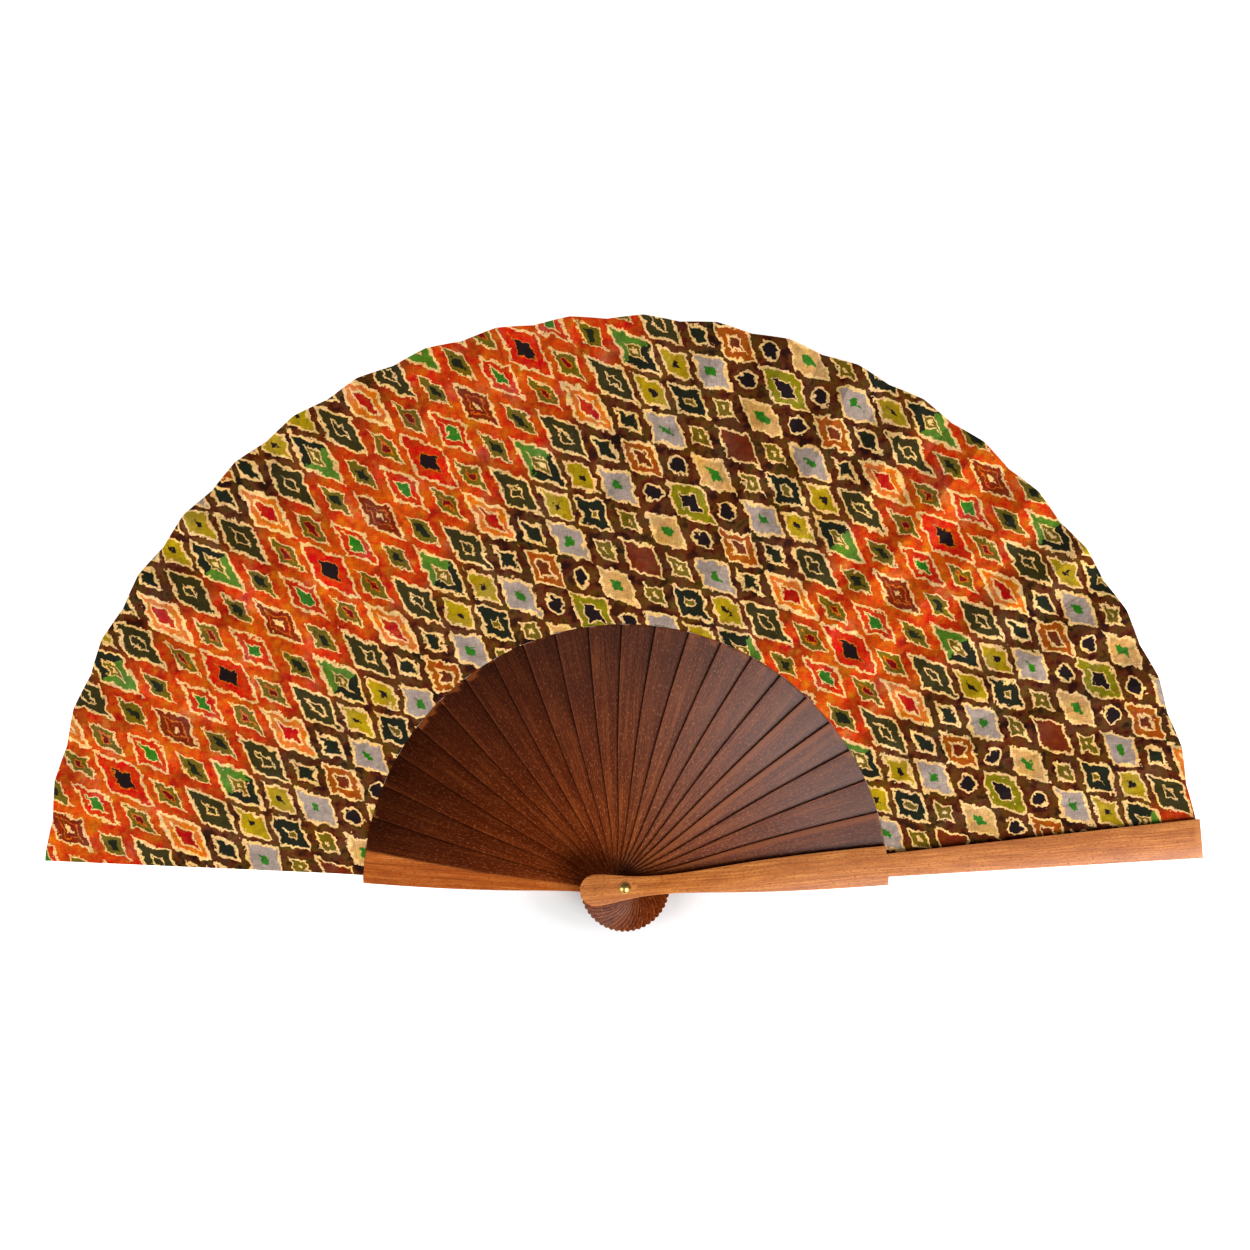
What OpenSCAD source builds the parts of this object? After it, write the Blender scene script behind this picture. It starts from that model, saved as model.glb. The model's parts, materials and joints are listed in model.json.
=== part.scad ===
// Folding hand fan with a pleated cloth leaf, lying open and flat.
// The rivet stands on the Z axis and the rear guard's outer face lies in the plane Z = 0.
// Each rib (guard or stick) has a flat layer of its own, so the fan closes without anything meeting.

/* [Fan] */
// Number of thin sticks between the two guards
stick_count = 22; // [12:1:26]
// Angle from the rear guard to the front guard with the fan open, in degrees
open_angle = 170.2; // [140:0.2:178]
// Direction of the rear guard, counted from +X, in degrees
rear_angle = 175.1; // [150:0.1:180]
// Gap between neighbouring sticks along the rivet
layer_gap = 0.1; // [0.05:0.01:0.3]

/* [Guards and sticks] */
// Distance from the rivet to a guard's tip
reach = 213.5; // [190:0.5:240]
// Distance from the rivet to the shoulder, where the leaf begins
shoulder_u = 97; // [85:0.5:110]
// Distance from the rivet back to the centre of the round head
head_back = 10.9; // [7:0.1:12]
// Radius of the round head
head_r = 5.8; // [4.5:0.1:6.5]
// Distance from the rivet to the slimmest part of the neck
neck_u = 13.3; // [10:0.1:18]
// Half-width of the neck
neck_half = 3.5; // [2.8:0.1:4.5]
// Half-width of the blade at the shoulder
blade_half = 7.25; // [6:0.05:8]

/* [Guards] */
// Thickness of a guard at its crown
guard_t = 2.8; // [2.4:0.1:4]
// Half-width of a guard just past the shoulder
waist_half = 4.26; // [3.5:0.02:6]
// Half-width of a guard at its tip
tip_half = 7.26; // [6.5:0.02:8.5]
// Radius of the two corners at a guard's tip
tip_r = 1.2; // [0.5:0.1:3]
// Radius of the camber across a guard's outer face
camber_r = 21; // [16:1:60]
// Half-width of the flat strip along the camber's crown
crown_half = 2.75; // [2.3:0.05:3.2]

/* [Sticks] */
// Thickness of a stick's blade
stick_t = 0.75; // [0.6:0.05:1.2]
// Thickness of the thin rib behind the leaf
rib_t = 0.4; // [0.2:0.05:0.45]
// Half-width of that rib
rib_half = 2.6; // [1.5:0.1:3.5]
// Distance from the rivet to the rib's end, just inside the leaf's edge
rib_end = 208; // [180:0.5:209]

/* [Leaf] */
// Distance from the rivet to the leaf's inner edge
leaf_in = 97.6; // [97.5:0.1:120]
// Distance from the rivet to the leaf's edge at a raised fold
leaf_peak = 213; // [211:0.5:240]
// Distance from the rivet to the leaf's edge at a sunk fold
leaf_dip = 211.5; // [210:0.5:240]
// Thickness of the cloth
leaf_t = 0.15; // [0.1:0.01:0.2]
// Angle by which the leaf runs past the rear guard's middle, in degrees
rear_lap = 2.4; // [1:0.1:3]
// Angle by which the leaf runs past the front guard's middle, in degrees
front_lap = 1.8; // [1:0.1:1.9]

/* [Rivet] */
// Radius of the rivet's shank
shank_r = 1.2; // [0.8:0.05:1.5]
// Running clearance between the shank and each bore that turns on it
shank_gap = 0.05; // [0.02:0.01:0.1]
// Radius of the domed head
dome_r = 2.1; // [1.8:0.1:2.2]
// Height of the domed head
dome_h = 1.2; // [0.8:0.1:1.5]
// Radius of the washer set into the rear guard
washer_r = 2.1; // [1.8:0.1:2.1]
// Thickness of that washer
washer_t = 0.6; // [0.4:0.1:1]

/* [Hidden] */
$fn = 48;
last = stick_count + 1;
pitch = open_angle / last;
fold = pitch / 4;
layer = stick_t + layer_gap;
rib_z = 0.15;
camber_z = guard_t - sqrt(camber_r * camber_r - crown_half * crown_half);
front_z = guard_t + layer_gap + stick_count * layer + leaf_t;
dome_z = front_z + guard_t + shank_gap;
dome_sphere = (dome_r * dome_r + dome_h * dome_h) / (2 * dome_h);
washer_gap = 0.05;
bite = 0.5;

function two_digits(k) = k < 10 ? str("0", k) : str(k);
function stick_name(k) = str("stick_", two_digits(k));
function leaf_name(k) = str("leaf_panel_", two_digits(k));

// The underside of rib k: 0 is the rear guard, then the sticks, and last is the front guard
function rib_layer(k) = k == 0 ? 0 : k == last ? front_z : guard_t + layer_gap + (k - 1) * layer;
// The underside of the leaf on rib k, above the rib's own underside
function leaf_z(k) = k == 0 ? guard_t : k == last ? -leaf_t : rib_z + rib_t;

function polar(r, a) = [r * cos(a), r * sin(a)];
function flip(points) = [for (i = [len(points) - 1 : -1 : 0]) [points[i].x, -points[i].y]];
function bezier(a, b, c, d, t) =
    pow(1 - t, 3) * a + 3 * pow(1 - t, 2) * t * b + 3 * (1 - t) * pow(t, 2) * c + pow(t, 3) * d;
function curve(a, b, c, d, steps) = [for (i = [0 : steps - 1]) bezier(a, b, c, d, i / steps)];

// The upper edge from the head through the neck to the shoulder
head_edge = [for (a = [174.375 : -11.25 : 95]) [-head_back, 0] + polar(head_r, a)];
neck_edge = curve(
    [-head_back, head_r], [-0.45 * head_back, head_r], [0, neck_half], [neck_u, neck_half], 8
);
blade_edge = curve(
    [neck_u, neck_half], [0.33 * shoulder_u, neck_half], [0.43 * shoulder_u, 0.94 * blade_half],
    [shoulder_u, blade_half], 12
);
shaft_edge = concat(head_edge, neck_edge, blade_edge, [[shoulder_u, blade_half]]);
tip_edge = [for (a = [90 : -22.5 : 0]) [reach - tip_r, tip_half - tip_r] + polar(tip_r, a)];

module outline(tail_edge) {
    upper = concat(shaft_edge, tail_edge);
    polygon(concat(upper, flip(upper)));
}

module shank_bore(r, h) {
    translate([0, 0, -bite]) cylinder(r = r, h = h + 2 * bite);
}

// Puts a rib drawn along +X on its own layer and turns it to its own direction
module at_rib(k) {
    rotate([0, 0, rear_angle - k * pitch]) translate([0, 0, rib_layer(k)]) children();
}

// A guard lying on its flat inner face, with the camber on top
module guard(bore_r) {
    difference() {
        intersection() {
            linear_extrude(guard_t) outline(concat([[shoulder_u, waist_half]], tip_edge));
            translate([0, 0, camber_z]) rotate([0, 90, 0])
                cylinder(r = camber_r, h = 4 * reach, center = true, $fn = 180);
        }
        shank_bore(bore_r, guard_t);
    }
}

module rear_guard() {
    color("#b0652f") difference() {
        at_rib(0) translate([0, 0, guard_t]) mirror([0, 0, 1]) guard(shank_r);
        translate([0, 0, -bite]) cylinder(r = washer_r + washer_gap, h = washer_t + bite);
    }
}

module front_guard() {
    color("#b96f35") at_rib(last) guard(shank_r + shank_gap);
}

// A blade that narrows to a thin rib past the shoulder, for the leaf to lie on
module stick(k) {
    color("#5c2c1e") at_rib(k) difference() {
        union() {
            linear_extrude(stick_t) outline([]);
            translate([0, -rib_half, rib_z]) cube([rib_end, 2 * rib_half, rib_t]);
        }
        shank_bore(shank_r + shank_gap, stick_t);
    }
}

// The cloth from half-way to the rib before to half-way to the rib after, with a raised and a sunk fold
module leaf_panel(k) {
    mid_edge = (leaf_peak + leaf_dip) / 2;
    before = k == 0 ? rear_lap : 2 * fold;
    after = k == last ? front_lap : 2 * fold;
    angles = [before, fold, -min(fold, 0.99 * after), -after];
    radii = [mid_edge, leaf_peak, leaf_dip, mid_edge];
    color("#9a6a35") at_rib(k) translate([0, 0, leaf_z(k)]) linear_extrude(leaf_t) polygon(concat(
        [for (i = [0 : 3]) polar(radii[i], angles[i])],
        [for (i = [3 : -1 : 0]) polar(leaf_in, angles[i])]
    ));
}

module rivet() {
    color("#d2ac56") {
        cylinder(r = shank_r, h = dome_z + 0.3 * dome_h);
        intersection() {
            translate([0, 0, dome_z + dome_h - dome_sphere]) sphere(r = dome_sphere);
            translate([0, 0, dome_z]) cylinder(r = dome_r + bite, h = dome_h + bite);
        }
    }
}

// The ring that the shank is spread over, flush with the rear guard's outer face
module rear_washer() {
    color("#c79f4c") difference() {
        cylinder(r = washer_r, h = washer_t);
        shank_bore(shank_r, washer_t);
    }
}

rear_guard();
front_guard();
rivet();
rear_washer();
for (k = [1 : stick_count]) stick(k);
for (k = [0 : last]) leaf_panel(k);
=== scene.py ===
"""Looks for a folding fan: wooden ribs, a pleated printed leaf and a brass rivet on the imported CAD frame."""

import json
import math

import bmesh
import bpy
import numpy as np
from mathutils import Matrix, Vector


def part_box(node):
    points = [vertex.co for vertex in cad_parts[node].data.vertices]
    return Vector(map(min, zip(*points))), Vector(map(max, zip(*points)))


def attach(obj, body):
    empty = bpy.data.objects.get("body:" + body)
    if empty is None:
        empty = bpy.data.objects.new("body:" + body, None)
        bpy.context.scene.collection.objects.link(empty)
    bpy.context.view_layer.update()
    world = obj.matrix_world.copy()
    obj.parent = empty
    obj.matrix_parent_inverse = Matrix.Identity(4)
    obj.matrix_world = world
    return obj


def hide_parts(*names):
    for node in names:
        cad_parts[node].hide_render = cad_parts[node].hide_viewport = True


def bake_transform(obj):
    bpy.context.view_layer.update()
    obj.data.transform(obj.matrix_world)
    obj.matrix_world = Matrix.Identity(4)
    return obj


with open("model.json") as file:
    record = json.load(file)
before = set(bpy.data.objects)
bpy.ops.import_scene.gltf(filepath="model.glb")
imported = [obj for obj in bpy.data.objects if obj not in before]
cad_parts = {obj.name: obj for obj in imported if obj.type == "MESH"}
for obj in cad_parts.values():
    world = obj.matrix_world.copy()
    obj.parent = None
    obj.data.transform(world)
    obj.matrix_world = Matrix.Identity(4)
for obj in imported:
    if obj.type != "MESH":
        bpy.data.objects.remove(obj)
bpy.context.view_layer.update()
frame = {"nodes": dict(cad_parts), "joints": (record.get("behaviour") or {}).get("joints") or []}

# ---------------------------------------------------------------- sizes, in metres and degrees

MM = 0.001
FOLD_JOINT = next(j for j in frame["joints"] if j["name"] == "fold")
PITCH = FOLD_JOINT["range_deg"][1]
REAR_ANGLE = 175.1
STICKS = sorted(name for name in frame["nodes"] if name.startswith("stick_"))
RIBS = ["rear_guard", *STICKS, "front_guard"]
LAST = len(RIBS) - 1

# Along a rib: the tip, the shoulder where the leaf starts, the head behind the rivet and the neck beyond it
REACH = 213.5 * MM
SHOULDER_U = 97 * MM
HEAD_BACK, HEAD_R = 10.9 * MM, 5.8 * MM
NECK_U, NECK_HALF = 13.3 * MM, 3.5 * MM
BLADE_HALF, WAIST_HALF, TIP_HALF = 7.25 * MM, 4.26 * MM, 7.26 * MM
# How far the guards' faces fall away at the blade's edges
CAMBER = 1.15 * MM
# The sticks' blades: their crown, the most they twist, and the arc just inside the leaf that they end on
CROWN, MAX_TWIST = 0.24 * MM, 2.1
BLADE_END = 97.27 * MM
# The narrow ribs that carry the leaf from there
RIB_HALF, RIB_END, RIB_T = 2.6 * MM, 208 * MM, 0.22 * MM
SHANK_R, RUNNING_GAP = 1.2 * MM, 0.05 * MM
DOME_R, DOME_H = 2.26 * MM, 1.2 * MM

GUARD_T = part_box("rear_guard")[1][2]
STICK_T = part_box(STICKS[0])[1][2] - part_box(STICKS[0])[0][2]
FRONT_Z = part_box("front_guard")[0][2]
RIB_Z = [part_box(name)[0][2] for name in RIBS]

CLOTH_T = 0.12 * MM
# From the middle of the cloth to the wood it is glued to
GLUED = 0.6 * CLOTH_T
CLOTH_OVER_STICK = 0.6 * MM
LEAF_IN = 97.32 * MM
LEAF_OUT = 212.4 * MM
SCALLOP = 0.75 * MM
# The folds' depth at the outer edge, by rib, shallow beside the guards so that the closed stack fits between
# them, and the share of it that is left at the inner edge
PLEAT_RIBS = [0, 1, 4, 18, 22, 23]
PLEAT_DEPTHS = [0, 0.5 * MM, 2.3 * MM, 2.4 * MM, 0.25 * MM, 0]
INNER_SHARE = 0.12
# Where the folds are, from one rib's middle (0) to the next's (1): raised, sunk, raised and sunk
FOLDS = [-0.25, 0.25, 0.75, 1.25]
# How far the leaf runs on past the guards' middles, in degrees
REAR_LAP, FRONT_LAP = 2.4, 1.8


def rib_angle(k):
    return REAR_ANGLE - k * PITCH


def cloth_z(k):
    """The middle of the cloth where it is glued to rib k."""
    if k == 0:
        return GUARD_T + GLUED
    if k == LAST:
        return FRONT_Z - GLUED
    return RIB_Z[k] + CLOTH_OVER_STICK


def pleat(k, r):
    """How far the folds beside rib k stand off its middle, up or down, at distance r from the rivet."""
    depth = float(np.interp(k, PLEAT_RIBS, PLEAT_DEPTHS))
    outward = (r - LEAF_IN) / (LEAF_OUT - LEAF_IN)
    return depth * (INNER_SHARE + (1 - INNER_SHARE) * outward)


# ---------------------------------------------------------------- node helpers


class Nodes:
    """A short way to write a material's node tree."""

    def __init__(self, name):
        self.material = bpy.data.materials.new(name)
        self.material.use_nodes = True
        self.tree = self.material.node_tree
        self.shader = self.tree.nodes["Principled BSDF"]

    def add(self, kind, settings=None, **inputs):
        """Adds a node. Its inputs are named as in the node, or i0, i1 and so on by the socket's number."""
        node = self.tree.nodes.new(kind)
        for key, value in (settings or {}).items():
            setattr(node, key, value)
        for key, value in inputs.items():
            numbered = key[0] == "i" and key[1:].isdigit()
            self.feed(node.inputs[int(key[1:]) if numbered else key], value)
        return node

    def feed(self, socket, value):
        if isinstance(value, bpy.types.NodeSocket):
            self.tree.links.new(value, socket)
        else:
            socket.default_value = value

    def math(self, operation, a, b=0.0, c=0.0):
        node = self.add("ShaderNodeMath", {"operation": operation}, i0=a, i1=b)
        if operation in ("MULTIPLY_ADD", "COMPARE"):
            self.feed(node.inputs[2], c)
        return node.outputs[0]

    def vector(self, operation, a, b=(0, 0, 0)):
        return self.add("ShaderNodeVectorMath", {"operation": operation}, i0=a, i1=b)

    def noise(self, vector, scale, detail=2.0, roughness=0.5):
        node = self.add("ShaderNodeTexNoise", Vector=vector, Scale=scale, Detail=detail, Roughness=roughness)
        return node.outputs["Fac"]

    def ramp(self, value, stops):
        """Stops are (position, colour) or, for greys, (position, level)."""
        node = self.add("ShaderNodeValToRGB", Fac=value)
        elements = node.color_ramp.elements
        while len(elements) < len(stops):
            elements.new(1.0)
        for element, (position, color) in zip(elements, stops):
            element.position = position
            element.color = (*color, 1.0) if isinstance(color, tuple) else (color, color, color, 1.0)
        return node.outputs["Color"]

    def mix(self, factor, a, b, blend="MIX"):
        node = self.add("ShaderNodeMix", {"data_type": "RGBA", "blend_type": blend})
        self.feed(node.inputs[0], factor)
        self.feed(node.inputs[6], a)
        self.feed(node.inputs[7], b)
        return node.outputs[2]

    def stretch(self, vector, scale):
        return self.add("ShaderNodeMapping", Vector=vector, Scale=scale).outputs[0]

    def hue_saturation(self, color, hue, saturation, value):
        node = self.add("ShaderNodeHueSaturation", Color=color, Hue=hue, Saturation=saturation, Value=value)
        return node.outputs[0]

    def bump(self, height, strength, distance, below=None):
        node = self.add("ShaderNodeBump", Height=height, Strength=strength, Distance=distance)
        if below is not None:
            self.feed(node.inputs["Normal"], below)
        return node.outputs[0]


def srgb(r, g, b):
    """A colour given as 0 to 255 on screen, as the linear values that shaders take."""
    channels = []
    for c in (r / 255, g / 255, b / 255):
        channels.append(c / 12.92 if c <= 0.04045 else ((c + 0.055) / 1.055) ** 2.4)
    return tuple(channels)


# ---------------------------------------------------------------- wood


def wood(name, deep, middle, light, pore, roughness, coat, pores_from, spread, shade_across, fade, shine, drift):
    """Straight-grained stained wood, with painted highlights on its edges and painted shade where pieces meet.
    The UV map "plank" runs along and across each piece, and the attribute "tone", 0 to 1, is how light a piece
    is: partly its stain and partly painted light.

    deep, middle, light: the grain's colours, spread: how far apart they lie in it, small for a bold grain.
    pore: the pores' colour, pores_from: the value of their noise that they start at.
    lean: how much lighter each piece gets across, fade: towards the rivet.
    drift: how far a lighter piece turns to yellow, shine: how strongly the wood reflects.
    """
    n = Nodes(name)
    plank = n.add("ShaderNodeUVMap", {"uv_map": "plank"}).outputs[0]
    tone = n.add("ShaderNodeAttribute", {"attribute_name": "tone"}).outputs["Fac"]
    shift = n.add("ShaderNodeCombineXYZ", X=n.math("MULTIPLY", tone, 3.1), Y=n.math("MULTIPLY", tone, 7.7))
    place = n.vector("ADD", plank, shift.outputs[0]).outputs[0]

    # Growth bands, fine fibres and broad clouds of stain
    bend = n.noise(n.stretch(place, (14, 60, 1)), 1.0, 2.0)
    sideways = n.add("ShaderNodeCombineXYZ", Y=n.math("MULTIPLY", bend, 0.004)).outputs[0]
    bent = n.vector("ADD", place, sideways).outputs[0]
    bands = n.noise(n.stretch(bent, (7, 420, 1)), 1.0, 3.0, 0.6)
    streaks = n.noise(n.stretch(bent, (45, 1900, 1)), 1.0, 4.0, 0.65)
    clouds = n.noise(n.stretch(place, (60, 160, 1)), 1.0, 3.0, 0.6)
    grain = n.math("MULTIPLY_ADD", streaks, 0.45, n.math("MULTIPLY", bands, 0.3))
    grain = n.math("MULTIPLY_ADD", clouds, 0.25, grain)
    color = n.ramp(grain, [(0.5 - spread, deep), (0.5, middle), (0.5 + spread, light)])

    specks = n.noise(n.stretch(bent, (760, 2400, 1)), 1.0, 2.0)
    pores = n.ramp(specks, [(pores_from, 0), (pores_from + 0.08, 1)])
    color = n.mix(n.math("MULTIPLY", pores, 0.6), color, (*pore, 1))

    # How light the wood is: by piece (its stain, and painted light by the sticks' angle), across it (painted
    # shade beside the next piece's edge), and from the rivet outwards
    apart = n.add("ShaderNodeSeparateXYZ", Vector=plank)
    along, across = apart.outputs[0], apart.outputs[1]
    value = n.math("MULTIPLY_ADD", tone, 0.8, 0.6)
    # Painted shade: each stick is darker on its half beside the edge of the stick above it
    value = n.math("MULTIPLY", value, n.math("MULTIPLY_ADD", across, shade_across, 1.0))
    faded = n.math("MULTIPLY_ADD", tone, -1.2 * fade, 1.35 * fade)
    inward = n.math("SUBTRACT", 0.055, along)
    value = n.math("MULTIPLY", value, n.math("MULTIPLY_ADD", inward, faded, 1.0))
    hue = n.math("MULTIPLY_ADD", tone, drift, 0.5 - 0.47 * drift)
    strong = n.math("MULTIPLY_ADD", tone, -3 * drift, 1 + 1.41 * drift)
    color = n.hue_saturation(color, hue, strong, value)

    # Painted highlight: edges lighter where the mesh is sharp. Painted shade: darker where pieces meet, found
    # by occlusion
    edge = n.add("ShaderNodeNewGeometry").outputs["Pointiness"]
    edge_highlight = n.ramp(edge, [(0.51, 0), (0.57, 1)])
    color = n.mix(n.math("MULTIPLY", edge_highlight, 0.7), color, (*light, 1))
    occlusion = n.add("ShaderNodeAmbientOcclusion", {"samples": 6}, Distance=0.0014).outputs["AO"]
    painted_shade = n.ramp(occlusion, [(0.55, (0.02, 0.015, 0.01)), (0.88, 1)])
    # 0.2 is the rivet, and 1 is 0.1 m from it
    station = n.math("MULTIPLY_ADD", along, 8.0, 0.2)
    # How strong the painted shade is along the rib: weaker round the rivet than out along the blade
    beyond_head = n.ramp(station, [(0.2, 0.55), (0.27, 0.3), (0.36, 0.3), (0.55, 0.95)])
    color = n.mix(beyond_head, color, painted_shade, "MULTIPLY")

    n.feed(n.shader.inputs["Base Color"], color)
    gloss = n.math("MULTIPLY_ADD", streaks, 0.22, roughness - 0.11)
    n.feed(n.shader.inputs["Roughness"], n.math("MULTIPLY_ADD", pores, 0.15, gloss))
    polish = n.ramp(station, [(0.2, 0.5), (0.3, 0.08), (0.45, 0.3), (0.8, 0.82)])
    # The painted shade where pieces meet also dims the reflection there
    polish = n.mix(1.0, polish, painted_shade, "MULTIPLY")
    by_tone = n.math("MAXIMUM", n.math("MULTIPLY_ADD", tone, 2.2, -0.35), 0.1)
    polish = n.math("MULTIPLY", polish, by_tone)
    n.feed(n.shader.inputs["Specular IOR Level"], n.math("MULTIPLY", polish, shine))
    n.shader.inputs["Coat Weight"].default_value = coat
    n.shader.inputs["Coat Roughness"].default_value = 0.3

    # Fibres spread a reflection across the grain
    tangent = n.add("ShaderNodeTangent", {"direction_type": "UV_MAP", "uv_map": "plank"}).outputs[0]
    n.feed(n.shader.inputs["Tangent"], tangent)
    n.shader.inputs["Anisotropic"].default_value = 0.7
    n.shader.inputs["Anisotropic Rotation"].default_value = 0.25
    height = n.math("MULTIPLY_ADD", specks, -1.0, streaks)
    n.feed(n.shader.inputs["Normal"], n.bump(height, 0.7, 0.00011))
    return n.material


GUARD_WOOD = wood(
    "guard_wood",
    deep=srgb(140, 68, 17),
    middle=srgb(177, 94, 32),
    light=srgb(210, 130, 60),
    pore=srgb(114, 54, 16),
    roughness=0.5,
    coat=0.3,
    pores_from=0.55,
    spread=0.12,
    shade_across=0.0,
    fade=-1.2,
    shine=0.52,
    drift=0.042,
)
STICK_WOOD = wood(
    "stick_wood",
    deep=srgb(46, 14, 3),
    middle=srgb(84, 33, 8),
    light=srgb(130, 66, 26),
    pore=srgb(142, 82, 48),
    roughness=0.45,
    coat=0.0,
    pores_from=0.57,
    spread=0.21,
    shade_across=34.0,
    fade=13.0,
    shine=0.6,
    drift=0.01,
)


# ---------------------------------------------------------------- brass


def brass(name):
    """Polished brass with faint turning marks round the rivet's axis and a little tarnish."""
    n = Nodes(name)
    place = n.add("ShaderNodeTexCoord").outputs["Object"]
    cloud = n.noise(place, 900, 3.0)
    rings = {"wave_type": "RINGS", "rings_direction": "Z"}
    marks = n.add("ShaderNodeTexWave", rings, Vector=place, Scale=2200).outputs["Fac"]
    color = n.ramp(cloud, [(0.3, srgb(206, 160, 82)), (0.7, srgb(232, 194, 118))])
    n.feed(n.shader.inputs["Base Color"], color)
    n.feed(n.shader.inputs["Roughness"], n.math("MULTIPLY_ADD", cloud, 0.1, 0.27))
    n.shader.inputs["Metallic"].default_value = 1.0
    n.feed(n.shader.inputs["Normal"], n.bump(marks, 0.05, 0.00002))
    return n.material


BRASS = brass("brass")


# ---------------------------------------------------------------- printed cloth

CREAM = srgb(242, 206, 150)
STRAW = srgb(210, 170, 114)
ORANGE = srgb(230, 106, 26)
PEACH = srgb(216, 128, 66)
CORAL = srgb(202, 72, 44)
SCARLET = srgb(208, 54, 18)
RED = srgb(184, 46, 36)
CRIMSON = srgb(128, 30, 34)
RUST = srgb(122, 60, 36)
BRICK = srgb(140, 58, 34)
BLACK = srgb(40, 27, 30)
PINE = srgb(40, 44, 30)
GREEN = srgb(66, 128, 46)
FERN = srgb(100, 136, 58)
OLIVE = srgb(120, 104, 38)
MOSS = srgb(68, 62, 32)
YELLOW = srgb(176, 152, 44)
LIME = srgb(142, 134, 34)
LAVENDER = srgb(172, 158, 152)
AMBER = srgb(166, 90, 32)

# Each motif is a nest of rings from its middle outwards: (where the ring ends, its colour), with the edge of
# its neighbours at 1. It is named by its row, 0 to 6, and by its column in half cells from the column of the
# largest motifs, 0 to 4. The motifs of the odd rows are the smaller ones.
ODD_MOTIFS = {
    (1, 1): [(0.19, CRIMSON), (0.26, PEACH), (0.50, OLIVE), (0.60, CREAM)],
    (1, 3): [(0.25, PINE), (0.49, OLIVE), (0.58, CREAM)],
    (3, 1): [(0.36, PINE), (0.42, MOSS), (0.60, CREAM)],
    (3, 3): [(0.18, BLACK), (0.62, YELLOW), (0.76, CREAM)],
    (5, 1): [(0.36, BLACK), (0.48, CREAM)],
    (5, 3): [(0.12, CREAM), (0.44, OLIVE), (0.58, CREAM)],
}
EVEN_MOTIFS = {
    (0, 0): [(0.44, BLACK), (0.5, PEACH), (0.92, SCARLET), (1.04, CREAM)],
    (0, 2): [(0.34, GREEN), (0.42, CREAM), (0.70, CORAL), (0.83, CREAM)],
    (0, 4): [(0.18, CREAM), (0.42, BRICK), (0.48, PEACH), (0.74, BRICK), (0.86, CREAM)],
    (2, 0): [(0.40, RED), (0.52, CREAM), (0.78, PEACH), (0.95, CREAM)],
    (2, 2): [(0.24, MOSS), (0.34, CREAM), (0.76, MOSS), (0.90, CREAM)],
    (2, 4): [(0.14, CREAM), (0.32, OLIVE), (0.40, CREAM), (0.80, FERN), (0.94, CREAM)],
    (4, 0): [(0.36, RUST), (0.50, CREAM), (0.82, AMBER), (0.95, CREAM)],
    (4, 2): [(0.26, GREEN), (0.80, LAVENDER), (0.95, CREAM)],
    (4, 4): [(0.20, OLIVE), (0.29, CREAM), (0.76, PINE), (0.90, CREAM)],
    (6, 0): [(0.46, BLACK), (0.53, CREAM), (0.88, LIME), (1.0, CREAM)],
    (6, 2): [(0.30, GREEN), (0.74, STRAW), (0.88, CREAM)],
    (6, 4): [(0.78, RUST), (0.90, CREAM)],
}
# On the side away from row 0 this motif's wide ring is dark
FAR_SIDE = {(2, 4): [(0.14, CREAM), (0.32, OLIVE), (0.40, CREAM), (0.80, PINE), (0.94, CREAM)]}
# These motifs are discs
ROUND = {(5, 1)}

# The ground between the motifs: (row, colour) down the columns of the largest motifs, a cell aside and two
# cells aside
GROUND = [
    [
        (0.0, ORANGE),
        (1.1, srgb(222, 98, 28)),
        (1.7, srgb(176, 78, 30)),
        (2.2, srgb(62, 38, 26)),
        (3.2, srgb(38, 28, 24)),
        (4.2, srgb(52, 34, 24)),
        (5.0, srgb(118, 66, 30)),
        (6.0, srgb(92, 54, 30)),
    ],
    [
        (0.0, srgb(236, 124, 34)),
        (0.7, srgb(222, 92, 22)),
        (1.0, srgb(158, 44, 22)),
        (1.5, srgb(214, 66, 20)),
        (2.3, srgb(104, 62, 36)),
        (3.0, srgb(136, 96, 76)),
        (3.6, srgb(76, 52, 36)),
        (5.0, srgb(120, 70, 34)),
        (6.0, srgb(84, 50, 34)),
    ],
    [
        (0.0, srgb(238, 130, 38)),
        (1.0, srgb(220, 66, 16)),
        (1.7, srgb(222, 76, 20)),
        (2.3, srgb(138, 112, 64)),
        (3.2, srgb(132, 98, 66)),
        (4.2, srgb(122, 108, 46)),
        (5.0, srgb(84, 62, 38)),
        (6.0, srgb(74, 46, 36)),
    ],
]
# Patches of dye on the ground of the orange rows and of the dark rows, by a noise's value
WARM_BLOTS = [
    (0.34, srgb(150, 40, 20)),
    (0.44, srgb(216, 74, 20)),
    (0.55, srgb(236, 118, 32)),
    (0.66, srgb(250, 172, 74)),
]
DARK_BLOTS = [
    (0.34, srgb(40, 30, 28)),
    (0.43, srgb(118, 106, 52)),
    (0.5, srgb(146, 108, 88)),
    (0.57, srgb(166, 90, 40)),
    (0.66, srgb(84, 52, 36)),
]
# Painted shade along the folds: how light the cloth is from one rib's middle (0) to the next's (1)
FOLD_SHADE = [
    (0.2, 1),
    (0.235, 0.75),
    (0.25, 0.55),
    (0.275, 1),
    (0.66, 0.9),
    (0.725, 0.8),
    (0.75, 0.6),
    (0.765, 1),
]


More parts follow.
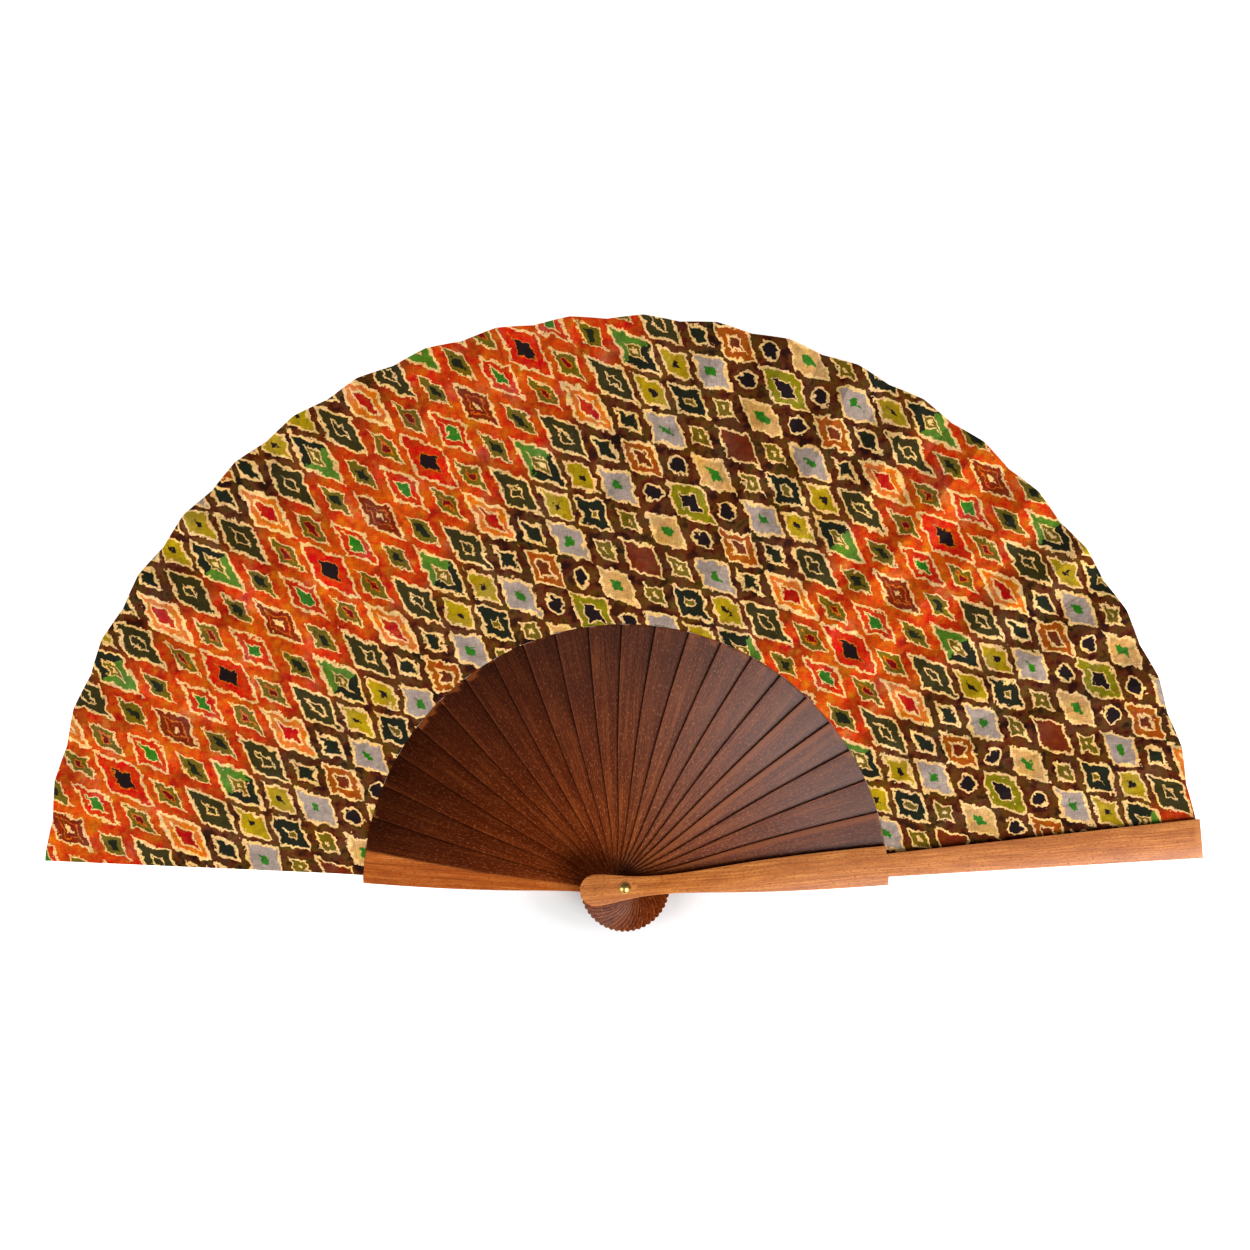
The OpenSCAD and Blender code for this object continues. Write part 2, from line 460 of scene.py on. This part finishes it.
def printed_cloth(name):
    """Thin plain-weave cotton printed with ragged nested diamonds. The UV map "flat" holds each point's place
    in the open leaf."""
    n = Nodes(name)
    flat = n.add("ShaderNodeUVMap", {"uv_map": "flat"}).outputs[0]
    place = n.add("ShaderNodeSeparateXYZ", Vector=flat)
    x, y = place.outputs[0], place.outputs[1]

    # The repeat's two directions, about 13 mm to the unit: a along the rows of motifs and b from row to row
    a = n.math("MULTIPLY_ADD", x, -49.75, n.math("MULTIPLY_ADD", y, -53.86, 0.870))
    b = n.math("MULTIPLY_ADD", x, 55.125, n.math("MULTIPLY_ADD", y, -53.753, 11.853))
    x_bow = n.math("MULTIPLY", n.math("MULTIPLY", x, x), 15.0)
    bow = n.math("MULTIPLY_ADD", n.math("MULTIPLY", y, y), 22.0, x_bow)
    b = n.math("ADD", b, bow)

    # Dye that crept along the threads leaves ragged edges
    coarse = n.add("ShaderNodeTexNoise", Vector=flat, Scale=250, Detail=1.0).outputs["Color"]
    fine = n.add("ShaderNodeTexNoise", Vector=flat, Scale=900, Detail=2.0, Roughness=0.55).outputs["Color"]
    apart = n.add("ShaderNodeSeparateXYZ", Vector=n.mix(0.36, coarse, fine))
    a = n.math("ADD", a, n.math("MULTIPLY_ADD", apart.outputs[0], 0.34, -0.17))
    b = n.math("ADD", b, n.math("MULTIPLY_ADD", apart.outputs[1], 0.68, -0.34))

    # The rows are mirrored about row 0 and row 6, and not quite evenly spaced
    row = n.math("PINGPONG", b, 6.0)
    swell = n.math("POWER", n.math("SINE", n.math("MULTIPLY", row, math.pi / 6)), 2.0)
    row = n.math("MULTIPLY_ADD", swell, -0.33, row)

    def diamond(row_middle, a_middle, half_cells):
        """How far out a point lies in the diamond and in the disc round a motif's middle, that motif's
        number (5 times its row, plus its column), and how many rows past its middle the point is."""
        down = n.math("SUBTRACT", row, row_middle)
        along = n.math("ABSOLUTE", n.math("MULTIPLY", n.math("SUBTRACT", a, a_middle), 2.0))
        across = n.math("ABSOLUTE", down)
        straight = n.math("ADD", along, across)
        pinch = n.math("SQRT", n.math("MULTIPLY", along, across))
        bulge = n.math("MULTIPLY_ADD", straight, -0.45, 0.42)
        ring = n.math("MULTIPLY_ADD", pinch, bulge, straight)
        rounder = n.math("MULTIPLY", across, 1.45)
        disc = n.math("SQRT", n.math("MULTIPLY_ADD", along, along, n.math("MULTIPLY", rounder, rounder)))
        column = n.math("PINGPONG", half_cells, 4.0)
        return ring, disc, n.math("MULTIPLY_ADD", row_middle, 5.0, column), down

    odd_row = n.math("MULTIPLY_ADD", n.math("FLOOR", n.math("MULTIPLY", row, 0.5)), 2.0, 1.0)
    odd_a = n.math("ADD", n.math("FLOOR", a), 0.5)
    odd_ring, odd_disc, odd_number, _ = diamond(odd_row, odd_a, n.math("MULTIPLY", odd_a, 2.0))
    even_row = n.math("MULTIPLY", n.math("ROUND", n.math("MULTIPLY", row, 0.5)), 2.0)
    even_a = n.math("ROUND", a)
    even_ring, _, even_number, far = diamond(even_row, even_a, n.math("MULTIPLY", even_a, 2.0))

    # The ground, blended between its columns of colours
    row_share = n.math("DIVIDE", row, 6.0)
    column_place = n.math("PINGPONG", a, 2.0)
    grounds = [n.ramp(row_share, [(place / 6, color) for place, color in column]) for column in GROUND]
    color = n.mix(n.ramp(column_place, [(0.25, 0), (0.75, 1)]), grounds[0], grounds[1])
    beyond = n.math("SUBTRACT", column_place, 1.0)
    color = n.mix(n.ramp(beyond, [(0.25, 0), (0.75, 1)]), color, grounds[2])

    # Dyes that ran into one another there
    blot = n.noise(flat, 190, 2.0, 0.55)
    color = n.mix(n.ramp(row_share, [(0.25, 0.45), (0.38, 0)]), color, n.ramp(blot, WARM_BLOTS))
    color = n.mix(n.ramp(row_share, [(0.25, 0), (0.42, 0.6)]), color, n.ramp(blot, DARK_BLOTS))
    pools = n.ramp(n.noise(flat, 190, 3.0, 0.6), [(0.36, srgb(255, 226, 176)), (0.6, srgb(150, 124, 112))])
    depth = n.ramp(row_share, [(0.25, 0.4), (0.42, 1)])
    color = n.mix(depth, color, pools, "MULTIPLY")

    def paint(color, rings, ring, number, motif, side=None):
        """Lays one motif over the colours so far, or only its part where side is above 0."""
        soft, span = 0.015, 1.25
        stops = [(0.0, rings[0][1])]
        for (end, inner), (_, outer) in zip(rings, rings[1:]):
            stops += [((end - soft) / span, inner), ((end + soft) / span, outer)]
        painted = n.ramp(n.math("DIVIDE", ring, span), stops)
        inside = n.math("LESS_THAN", ring, rings[-1][0])
        here = n.math("COMPARE", number, 5.0 * motif[0] + motif[1], 0.3)
        here = n.math("MULTIPLY", here, inside)
        if side is not None:
            here = n.math("MULTIPLY", here, n.math("GREATER_THAN", side, 0.0))
        return n.mix(here, color, painted)

    for motif, rings in ODD_MOTIFS.items():
        color = paint(color, rings, odd_disc if motif in ROUND else odd_ring, odd_number, motif)
    for motif, rings in EVEN_MOTIFS.items():
        color = paint(color, rings, even_ring, even_number, motif)
    for motif, rings in FAR_SIDE.items():
        color = paint(color, rings, even_ring, even_number, motif, far)

    # Painted shade: darker lines along the folds, stronger towards the front guard and the outer edge, and
    # uneven
    around = n.math("MULTIPLY", n.math("ARCTAN2", y, x), 180 / math.pi)
    share = n.math("DIVIDE", n.math("SUBTRACT", REAR_ANGLE, around), PITCH)
    shade = n.ramp(n.math("FRACT", share), FOLD_SHADE)
    deep = n.ramp(n.math("DIVIDE", share, LAST), [(0, 0.2), (0.3, 0.4), (0.6, 0.85), (1, 0.9)])
    outward = n.vector("LENGTH", flat).outputs["Value"]
    deep = n.math("MULTIPLY", deep, n.math("MULTIPLY_ADD", outward, 5.0, -0.2))
    deep = n.math("MULTIPLY", deep, n.math("MULTIPLY_ADD", n.noise(flat, 28, 2.0), 1.6, 0.2))
    color = n.mix(deep, color, n.mix(1.0, color, shade, "MULTIPLY"))

    # Uneven dye
    mottle = n.noise(flat, 380, 4.0, 0.7)
    wash = n.noise(flat, 120, 3.0, 0.6)
    value = n.math("ADD", mottle, wash)
    thick_warp = n.noise(n.stretch(flat, (420, 2300, 1)), 1.0, 2.0)
    thick_weft = n.noise(n.stretch(flat, (2300, 420, 1)), 1.0, 2.0)
    slubs = n.math("ADD", thick_warp, thick_weft)
    value = n.math("MULTIPLY", value, n.math("MULTIPLY_ADD", slubs, 0.7, 0.3))
    drift = n.math("MULTIPLY_ADD", n.noise(flat, 300, 3.0, 0.6), 0.07, 0.466)
    strong = n.math("MULTIPLY_ADD", n.noise(flat, 90, 2.0), 0.5, 0.8)
    color = n.hue_saturation(color, drift, strong, value)
    color = n.add("ShaderNodeGamma", Color=color, Gamma=1.14).outputs[0]
    color = n.mix(1.0, color, (1.0, 0.94, 0.86, 1), "MULTIPLY")

    # Warp and weft, about 30 threads to the centimetre
    warp, weft = (
        n.add("ShaderNodeTexWave", {"bands_direction": axis}, Vector=flat, Scale=950, Distortion=0.6)
        for axis in "XY"
    )
    weave = n.math("MAXIMUM", warp.outputs["Fac"], weft.outputs["Fac"])
    color = n.mix(n.math("MULTIPLY_ADD", weave, -0.14, 0.14), color, (0, 0, 0, 1))

    n.feed(n.shader.inputs["Base Color"], color)
    n.feed(n.shader.inputs["Roughness"], n.math("MULTIPLY_ADD", weave, -0.12, 0.86))
    n.shader.inputs["Specular IOR Level"].default_value = 0.1
    creases = n.noise(flat, 60, 2.0)
    soft = n.bump(creases, 0.5, 0.0006)
    n.feed(n.shader.inputs["Normal"], n.bump(weave, 0.25, 0.00005, soft))
    return n.material


CLOTH = printed_cloth("leaf_cloth")


# ---------------------------------------------------------------- mesh helpers


def mesh_object(name, vertices, faces, material):
    mesh = bpy.data.meshes.new(name)
    mesh.from_pydata([tuple(v) for v in vertices], [], faces)
    mesh.validate()
    mesh.materials.append(material)
    obj = bpy.data.objects.new(name, mesh)
    bpy.context.scene.collection.objects.link(obj)
    return obj


def apply_modifiers(obj):
    """Takes the evaluated mesh as the object's own."""
    graph = bpy.context.evaluated_depsgraph_get()
    mesh = bpy.data.meshes.new_from_object(obj.evaluated_get(graph))
    obj.modifiers.clear()
    obj.data = mesh


def smooth(obj, angle=40):
    obj.data.shade_smooth()
    obj.data.set_sharp_from_angle(angle=math.radians(angle))


def face_outwards(obj, join=0.0):
    """Turns all faces outwards, and before that joins points that are less than join apart."""
    work = bmesh.new()
    work.from_mesh(obj.data)
    if join:
        bmesh.ops.remove_doubles(work, verts=work.verts, dist=join)
    bmesh.ops.recalc_face_normals(work, faces=work.faces)
    work.to_mesh(obj.data)
    work.free()


def loft(name, sections, material):
    """A closed solid through rings of points, each ring with as many points as the others."""
    count = len(sections[0])
    vertices = np.concatenate(sections)
    faces = []
    for s in range(len(sections) - 1):
        for i in range(count):
            j = (i + 1) % count
            faces.append((s * count + i, s * count + j, (s + 1) * count + j, (s + 1) * count + i))
    faces.append(tuple(range(count))[::-1])
    faces.append(tuple(range((len(sections) - 1) * count, len(sections) * count)))
    return mesh_object(name, vertices, faces, material)


def revolve(name, profile, material, steps=64):
    """A solid turned round the Z axis. Its (radius, height) points run from axis to axis or form a loop."""
    rings = []
    for step in range(steps):
        turn = 2 * math.pi * step / steps
        rings.append([(r * math.cos(turn), r * math.sin(turn), z) for r, z in profile])
    count = len(profile)
    faces = []
    for s in range(steps):
        t = (s + 1) % steps
        for i in range(count - 1):
            faces.append((s * count + i, t * count + i, t * count + i + 1, s * count + i + 1))
    obj = mesh_object(name, np.concatenate(rings), faces, material)
    face_outwards(obj, join=1e-7)
    return obj


# ---------------------------------------------------------------- ribs: guards and sticks


def bezier(p0, p1, p2, p3, t):
    p0, p1, p2, p3 = (np.array(p) for p in (p0, p1, p2, p3))
    t = np.asarray(t)[:, None]
    return (1 - t) ** 3 * p0 + 3 * (1 - t) ** 2 * t * p1 + 3 * (1 - t) * t**2 * p2 + t**3 * p3


def shaft_outline(head_long=HEAD_R, head_half=HEAD_R, point=1.0):
    """(distance from the rivet, half-width) from the head through the neck to the shoulder; point over 1
    sharpens the round head."""
    # The first ring is short, as the head's flat end
    turn = np.radians(np.linspace(6, 90, 14))
    middle = head_long - HEAD_BACK - HEAD_R
    head = np.c_[middle - head_long * np.cos(turn) ** point, head_half * np.sin(turn) ** point]
    bend = np.linspace(0, 1, 14)[1:]
    neck = bezier((middle, head_half), (0.41 * middle, head_half), (0, NECK_HALF), (NECK_U, NECK_HALF), bend)
    # Rings close to the shoulder keep the rounding of the blade's end off its face
    along = [*np.linspace(0, 1, 32)[1:-1], 0.985, 0.994, 1]
    blade = bezier(
        (NECK_U, NECK_HALF),
        (0.33 * SHOULDER_U, NECK_HALF),
        (0.43 * SHOULDER_U, 0.94 * BLADE_HALF),
        (SHOULDER_U, BLADE_HALF),
        along,
    )
    return np.concatenate([head, neck, blade])


# Places across a rib, as shares of its half-width
ACROSS = np.array([-1, -0.86, -0.6, -0.3, 0, 0.3, 0.6, 0.86, 1])


def ring_section(u, v, low, high):
    """One ring across a rib, at u along it: the top over the places v across it and the underside back."""
    top = np.c_[np.full(len(v), u), v, high]
    under = np.c_[np.full(len(v), u), v, low][::-1]
    return np.concatenate([top, under])


def stain_and_light(k):
    """How light rib k is, 0 to 1: painted light that makes the front guard lighter than the rear one and the
    sticks on the right lighter and more reflective, by their angle, and each a little off its neighbours in
    stain.
    """
    if k == 0:
        return 0.34
    if k == LAST:
        return 0.59
    # Painted light: the sticks on the right are lighter than those on the left
    by_angle = float(np.interp(rib_angle(k), [10, 40, 65, 90, 115], [0.58, 0.8, 0.88, 0.46, 0.22]))
    return by_angle + 0.05 * math.sin(12.9898 * k + 4.1)


def finish_rib(obj, k, bore, edge):
    """Bores and rounds a rib drawn along +X, maps its grain, turns it to its place and makes it ride."""
    profile = [(0, -1 * MM), (bore, -1 * MM), (bore, 4 * MM), (0, 4 * MM)]
    cutter = revolve("cutter", profile, None, steps=48)
    cut = obj.modifiers.new("bore", "BOOLEAN")
    cut.object = cutter
    cut.solver = "EXACT"
    apply_modifiers(obj)
    bpy.data.objects.remove(cutter)
    round_off = obj.modifiers.new("edges", "BEVEL")
    round_off.width = edge
    round_off.segments = 3
    round_off.limit_method = "ANGLE"
    round_off.angle_limit = math.radians(38)
    apply_modifiers(obj)

    mesh = obj.data
    layer = mesh.uv_layers.new(name="plank")
    for loop in mesh.loops:
        co = mesh.vertices[loop.vertex_index].co
        layer.data[loop.index].uv = (co.x, co.y + co.z)
    tone = mesh.attributes.new("tone", "FLOAT", "POINT")
    tone.data.foreach_set("value", [stain_and_light(k)] * len(mesh.vertices))

    turned = Matrix.Rotation(math.radians(rib_angle(k)), 4, "Z")
    mesh.transform(turned @ Matrix.Translation((0, 0, RIB_Z[k])))
    smooth(obj)
    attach(obj, RIBS[k])
    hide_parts(RIBS[k])


def stick(k):
    """A thin blade, twisted so that it rides up over the one before it, that steps down to a narrow rib."""
    full_tilt = math.tan(math.radians(min(0.7 * min(k, LAST - k), MAX_TWIST)))
    sections = []
    for u, half in shaft_outline(head_long=9 * MM, head_half=4.7 * MM, point=1.33):
        tilt = full_tilt * float(np.interp(u, [NECK_U, 60 * MM], [0, 1]))
        v = ACROSS * half
        face = STICK_T + tilt * v - CROWN * (v / BLADE_HALF) ** 2
        section = ring_section(u, v, tilt * v, face)
        # The outer end is cut to the arc of the leaf's inner edge
        bow = BLADE_END - SHOULDER_U - (BLADE_END - np.sqrt(BLADE_END**2 - section[:, 1] ** 2))
        section[:, 0] += bow * np.interp(u, [93 * MM, SHOULDER_U], [0, 1])
        sections.append(section)

    # The rib leans as the glued half panel over it does
    v = ACROSS * RIB_HALF
    rib_top = CLOTH_OVER_STICK - GLUED
    for u in np.linspace(BLADE_END + 0.1 * MM, RIB_END, 24):
        slope = pleat(k, u) / (u * math.sin(math.radians(PITCH / 4)))
        section = ring_section(u, v, rib_top - RIB_T + slope * v, rib_top + slope * v)
        section[:, 0] = np.sqrt(u**2 - section[:, 1] ** 2)
        sections.append(section)
    obj = loft(f"{RIBS[k]}_wood", sections, STICK_WOOD)
    finish_rib(obj, k, bore=SHANK_R + RUNNING_GAP, edge=0.25 * MM)


def guard(k):
    """A thick outer rib with a cambered outer face, a step at the shoulder and a square tip."""

    def section(u, half):
        v = ACROSS * half
        flat = np.zeros(len(v))
        camber = GUARD_T - CAMBER * np.abs(v / BLADE_HALF) ** 2.1
        if k == 0:
            return ring_section(u, v, GUARD_T - camber, flat + GUARD_T)
        return ring_section(u, v, flat, camber)

    sections = [section(u, half) for u, half in shaft_outline()]
    for u in np.linspace(SHOULDER_U + 0.3 * MM, REACH, 40):
        along = (u - SHOULDER_U) / (REACH - SHOULDER_U)
        sections.append(section(u, WAIST_HALF + (TIP_HALF - WAIST_HALF) * along))
    obj = loft(f"{RIBS[k]}_wood", sections, GUARD_WOOD)
    # The shank is tight in the rear guard and turns in the front one
    finish_rib(obj, k, bore=SHANK_R + (RUNNING_GAP if k else 0), edge=0.9 * MM)


guard(0)
for number in range(1, LAST):
    stick(number)
guard(LAST)


# ---------------------------------------------------------------- rivet


def rivet():
    """A shank through the whole stack, with a domed head on the front guard."""
    top = FRONT_Z + GUARD_T + RUNNING_GAP
    sphere = (DOME_R**2 + DOME_H**2) / (2 * DOME_H)
    reach = math.asin(DOME_R / sphere)
    middle = top + DOME_H - sphere
    dome = [(sphere * math.sin(a), middle + sphere * math.cos(a)) for a in np.linspace(0, reach, 16)]
    rim = [(DOME_R, top), (SHANK_R, top)]
    obj = revolve("rivet_brass", [*dome, *rim, (SHANK_R, 0), (0, 0)], BRASS)
    smooth(obj, 50)
    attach(obj, "rear_guard")
    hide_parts("rivet")


def washer():
    """A ring round the shank, flush in the rear guard's outer face."""
    outer, thick, edge = 2.1 * MM, 0.6 * MM, 0.08 * MM
    profile = [(SHANK_R, 0), (outer - edge, 0), (outer, edge), (outer, thick), (SHANK_R, thick), (SHANK_R, 0)]
    obj = revolve("rear_washer_brass", profile, BRASS)
    smooth(obj, 50)
    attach(obj, "rear_guard")
    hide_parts("rear_washer")


rivet()
washer()


# ---------------------------------------------------------------- leaf


def leaf_edge(angle, share):
    """The leaf's outer radius: not quite centred on the rivet, longer at raised folds than at sunk ones."""
    turn = math.radians(angle)
    even = LEAF_OUT - 1.6 * MM * math.cos(turn) - 2.1 * MM * (math.sin(turn) - 0.5)
    return even + SCALLOP * np.interp(share, FOLDS, [1, -1, 1, -1])


def leaf_height(g, share, r):
    """The cloth's middle between rib g (share 0) and rib g + 1 (share 1)."""
    low, high = cloth_z(g), cloth_z(g + 1)
    heights = [low + pleat(g, r), low - pleat(g, r), high + pleat(g + 1, r), high - pleat(g + 1, r)]
    return np.interp(share, FOLDS, heights)


def sheet_faces(across, count):
    """The faces of a thin sheet: across columns of count points on top, as many underneath, and its rim."""
    under = across * count
    faces = []
    for i in range(across - 1):
        for j in range(count - 1):
            a = i * count + j
            b, c, d = a + 1, a + count + 1, a + count
            faces.append((b, c, d, a))
            faces.append((under + a, under + d, under + c, under + b))
    rim = [i * count for i in range(across)]
    rim += [(across - 1) * count + j for j in range(1, count)]
    rim += [i * count + count - 1 for i in range(across - 2, -1, -1)]
    rim += [j for j in range(count - 2, 0, -1)]
    for a, b in zip(rim, rim[1:] + rim[:1]):
        faces.append((a, b, under + b, under + a))
    return faces


def leaf_piece(g):
    """The cloth from rib g's middle to rib g + 1's middle: half a glued panel, a sunk fold, a free panel, a
    raised fold and half a glued panel. The first and last pieces run on over their guards."""
    shares = [0, 0.08, 0.16, 0.21, 0.25, 0.29, 0.35, 0.42, 0.5, 0.58, 0.65, 0.71, 0.75, 0.79, 0.84, 0.92, 1]
    if g == 0:
        shares = [-REAR_LAP / PITCH, -0.2, -0.1, *shares]
    if g == LAST - 1:
        shares = [*shares, 1.12, 1 + FRONT_LAP / PITCH]
    rows = 52
    sunk, raised = FOLDS[1:3]
    top, under, flat, weights = [], [], [], []
    for share in shares:
        angle = rib_angle(g) - share * PITCH
        turn = math.radians(angle)
        edge = leaf_edge(angle, share)
        for row in range(rows + 1):
            r = LEAF_IN + (edge - LEAF_IN) * row / rows
            place = (r * math.cos(turn), r * math.sin(turn))
            z = leaf_height(g, share, r)
            top.append((*place, z + CLOTH_T / 2))
            under.append((*place, z - CLOTH_T / 2))
            flat.append(place)
            weights.append(min(max((share - sunk) / (raised - sunk), 0), 1))

    faces = sheet_faces(len(shares), rows + 1)
    obj = mesh_object(f"leaf_fold_{g + 1:02d}", [*top, *under], faces, CLOTH)
    face_outwards(obj)
    places = [*flat, *flat]
    layer = obj.data.uv_layers.new(name="flat")
    for loop in obj.data.loops:
        layer.data[loop.index].uv = places[loop.vertex_index]
    smooth(obj, 50)

    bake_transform(obj)

    panels = [g, LAST] if g == LAST - 1 else [g]
    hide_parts(*[f"leaf_panel_{panel:02d}" for panel in panels])


for gap in range(LAST):
    leaf_piece(gap)


# ---------------------------------------------------------------- floor, light and camera


def floor():
    """White floor that glows, painted light that burns out the shadows all round the fan, and greyer beside
    the rivet's end, a painted shadow.
    """
    bpy.ops.mesh.primitive_plane_add(size=8, location=(0, 0.1, -0.0002))
    plane = bpy.context.object
    plane.name = "floor"
    n = Nodes("floor_paper")
    n.shader.inputs["Roughness"].default_value = 0.9
    n.shader.inputs["Specular IOR Level"].default_value = 0.1
    n.shader.inputs["Emission Color"].default_value = (1, 1, 1, 1)
    place = n.stretch(n.add("ShaderNodeTexCoord").outputs["Object"], (5, 10, 5))
    # Distance from beside the rivet, 0.1 m below the plane's middle, in ellipses twice as wide as high
    away = n.vector("DISTANCE", place, (-0.025, -1, 0)).outputs["Value"]
    # The glow is painted light: none beside the rivet, and more further out, where it washes out the shadows
    glow = n.ramp(away, [(0.2, 0), (0.45, 0.8), (0.9, 0.95)])
    n.feed(n.shader.inputs["Emission Strength"], glow)
    # Painted shadow: the floor is darker beside the rivet's end
    floor_with_painted_shadow = n.ramp(away, [(0.115, 0.64), (0.145, 0.7), (0.17, 0.79), (0.22, 0.9)])
    n.feed(n.shader.inputs["Base Color"], floor_with_painted_shadow)
    plane.data.materials.append(n.material)


def softbox(name, place, width, power):
    """A square light that looks at the middle of the leaf."""
    lamp = bpy.data.lights.new(name, "AREA")
    lamp.shape = "SQUARE"
    lamp.size = width
    lamp.energy = power
    obj = bpy.data.objects.new(name, lamp)
    obj.location = place
    aim = Vector((0, 0.1, 0))
    obj.rotation_euler = (aim - Vector(place)).to_track_quat("-Z", "Y").to_euler()
    bpy.context.scene.collection.objects.link(obj)


def camera():
    """Straight above the fan, far back, with the rivet below the middle of the picture."""
    lens = bpy.data.cameras.new("camera")
    obj = bpy.data.objects.new("camera", lens)
    # How far it is from the middle of the fan's thickness, and how much of that plane it sees
    height, wide = 3.0, 0.463
    obj.location = (0, 0.097, height + 0.012)
    sensor = 36
    lens.sensor_width = sensor
    lens.lens = sensor * height / wide
    bpy.context.scene.collection.objects.link(obj)
    bpy.context.scene.camera = obj


def studio(strength):
    """An even white surrounding."""
    world = bpy.data.worlds.new("studio")
    world.use_nodes = True
    background = world.node_tree.nodes["Background"]
    background.inputs["Color"].default_value = (1, 1, 1, 1)
    background.inputs["Strength"].default_value = strength
    bpy.context.scene.world = world


floor()
softbox("softbox_near", place=(0.64, -0.79, 1.15), width=0.9, power=32)
softbox("softbox_left", place=(-1.62, -0.72, 1.1), width=1.3, power=20)
studio(strength=0.09)
camera()
bpy.context.scene.view_settings.view_transform = "Standard"
